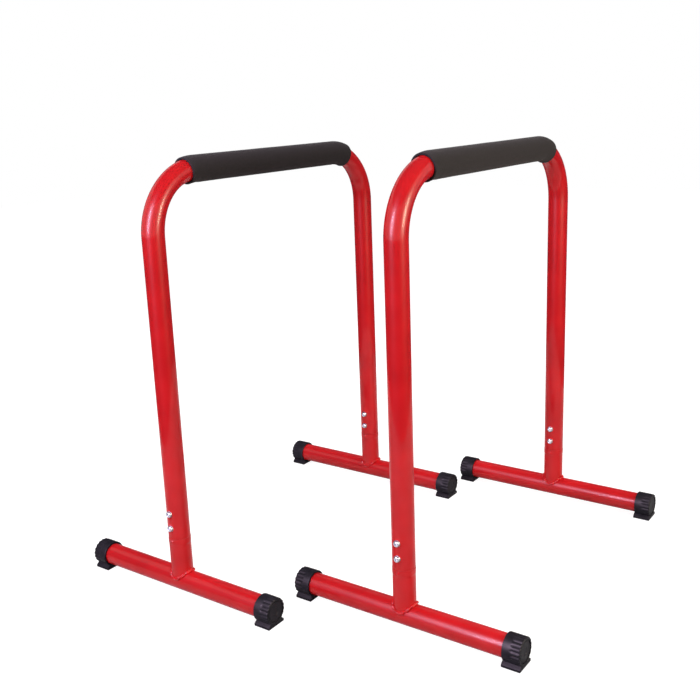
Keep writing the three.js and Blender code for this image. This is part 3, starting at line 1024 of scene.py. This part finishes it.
# Each lamp: place, the point it faces, size, power in watts, colour, and whether it lights the
# object or is only mirrored in it. The mirrored ones are brighter, as a small bright window is.
lamps = {
    "frontLight": ((-0.27, -2.2, 1.4), (0, 0, 0.45), (1.05, 1.6), 32, "#F4ECFF", "lights"),
    "sideLight": ((2.0, -0.15, 1.1), (0, 0, 0.45), (0.85, 0.95), 19, "#FFF4E6", "lights"),
    "topLight": ((0.3, 0.3, 2.6), (0, 0, 0.3), (2.0, 2.0), 10, "#FFFFFF", "lights"),
    "backLight": ((-1.17, 1.61, 1.67), (0, 0, 0.4), (1.4, 1.4), 22, "#FFFFFF", "lights"),
    "coolCard": ((-0.27, -2.2, 1.4), (0, 0, 0.45), (0.65, 1.35), 430, "#EFD3F4", "mirrored"),
    "warmCard": ((2.0, -0.15, 1.1), (0, 0, 0.45), (0.55, 0.72), 220, "#FFF0D2", "mirrored"),
}
# Dark cards stand round the set, low in front so that the lamps are mirrored above them, and one
# hangs overhead. They are only seen in reflections, and draw the dark edges of the paint.
darkCards = {
    "radius": 1.25,
    "frontHeight": 0.6,
    "rearHeight": 1.3,
    "middle": 33,  # azimuth of the low side's middle
    "halfWidth": 100,  # degrees to either side
    "fade": 25,
    "columns": 120,
    "overheadHeight": 2.3,
    "overheadRadius": 2.1,
    "glow": 0.16,
    "colour": "#C9B4D2",
}


def makeFloor():
    half, low = studio["floorSize"] / 2, -studio["floorDrop"]
    corners = [(-half, -half, low), (half, -half, low), (half, half, low), (-half, half, low)]
    mesh = bpy.data.meshes.new("studioFloor")
    mesh.from_pydata(corners, [], [(0, 1, 2, 3)])
    floor = bpy.data.objects.new("studioFloor", mesh)
    bpy.context.scene.collection.objects.link(floor)
    material, tree = newMaterial("studioPaper")
    plain, lit, mirrored = (
        addNode(tree, "ShaderNodeBsdfDiffuse", Color=colour(studio[key])).outputs["BSDF"]
        for key in ("floorBounce", "floorLit", "mirroredFloor"))
    glow = addNode(tree, "ShaderNodeEmission", Color=white, Strength=studio["floorGlow"])
    shown = addNode(tree, "ShaderNodeAddShader", s0=glow.outputs["Emission"], s1=lit).outputs["Shader"]
    path = addNode(tree, "ShaderNodeLightPath").outputs
    seen = addNode(tree, "ShaderNodeMixShader", s0=path["Is Camera Ray"], s1=mirrored, s2=shown)
    surface = addNode(tree, "ShaderNodeMixShader", s0=seenRays(tree), s1=plain,
                      s2=seen.outputs["Shader"])
    addNode(tree, "ShaderNodeOutputMaterial", Surface=surface.outputs["Shader"])
    mesh.materials.append(material)


def makeDarkCards():
    # The standing ones are a band on a circle: x = r sin azimuth, y = -r cos azimuth, from the floor
    # up to a height that goes smoothly from the front's to the rear's.
    azimuth = np.linspace(-180, 180, darkCards["columns"] + 1) + darkCards["middle"]
    fromMiddle = np.abs(azimuth - darkCards["middle"])
    share = smoothStep((fromMiddle - darkCards["halfWidth"]) / darkCards["fade"])
    height = darkCards["frontHeight"] + share * (darkCards["rearHeight"] - darkCards["frontHeight"])
    turn = np.radians(azimuth)
    foot = np.stack([np.sin(turn), -np.cos(turn), turn * 0], axis=1) * darkCards["radius"]
    points = np.concatenate([foot, foot + height[:, None] * [0, 0, 1]])
    first = np.arange(len(foot) - 1)
    faces = np.stack([first, first + 1, first + 1 + len(foot), first + len(foot)], axis=1)
    # The one overhead is a flat disc.
    rise = [0, 0, darkCards["overheadHeight"]]
    disc = foot[:-1] * darkCards["overheadRadius"] / darkCards["radius"] + rise
    overhead = np.arange(len(disc)) + len(points)
    mesh = bpy.data.meshes.new("darkCards")
    mesh.from_pydata(np.concatenate([points, disc]).tolist(), [], [*faces.tolist(), overhead.tolist()])
    cards = bpy.data.objects.new("darkCards", mesh)
    bpy.context.scene.collection.objects.link(cards)
    material, tree = newMaterial("darkCard")
    glow = addNode(tree, "ShaderNodeEmission", Color=colour(darkCards["colour"]),
                   Strength=darkCards["glow"])
    addNode(tree, "ShaderNodeOutputMaterial", Surface=glow.outputs["Emission"])
    mesh.materials.append(material)
    cards.visible_camera = cards.visible_diffuse = cards.visible_shadow = cards.visible_transmission = False


def seenRays(tree):
    # 1 for camera, glossy and transmission rays, which see the white surroundings, else 0.
    path = addNode(tree, "ShaderNodeLightPath").outputs
    mirrored = addNode(tree, "ShaderNodeMath", {"operation": "MAXIMUM"}, s0=path["Is Glossy Ray"],
                       s1=path["Is Transmission Ray"]).outputs["Value"]
    return addNode(tree, "ShaderNodeMath", {"operation": "MAXIMUM"}, s0=path["Is Camera Ray"],
                   s1=mirrored).outputs["Value"]


def makeWorld():
    world = bpy.data.worlds.new("whiteStudio")
    bpy.context.scene.world = world
    world.use_nodes = True
    tree = world.node_tree
    tree.nodes.clear()
    soft, shown = (
        addNode(tree, "ShaderNodeBackground", Color=white, Strength=strength).outputs["Background"]
        for strength in (studio["ambient"], 1))
    surface = addNode(tree, "ShaderNodeMixShader", s0=seenRays(tree), s1=soft, s2=shown)
    addNode(tree, "ShaderNodeOutputWorld", Surface=surface.outputs["Shader"])


def makeLamp(name, place, aim, size, power, tint, use):
    data = bpy.data.lights.new(name, "AREA")
    data.shape = "RECTANGLE"
    data.size, data.size_y = size
    data.energy = power
    data.color = colour(tint)[:3]
    lamp = bpy.data.objects.new(name, data)
    facing = (Vector(aim) - Vector(place)).to_track_quat("-Z", "Y")
    lamp.matrix_world = Matrix.Translation(place) @ facing.to_matrix().to_4x4()
    lamp.visible_camera = False
    lamp.visible_diffuse = use == "lights"
    lamp.visible_glossy = use == "mirrored"
    bpy.context.scene.collection.objects.link(lamp)


makeFloor()
makeDarkCards()
makeWorld()
for name, settings in lamps.items():
    makeLamp(name, *settings)
bpy.context.scene.view_settings.view_transform = "Standard"
print("studio set up")
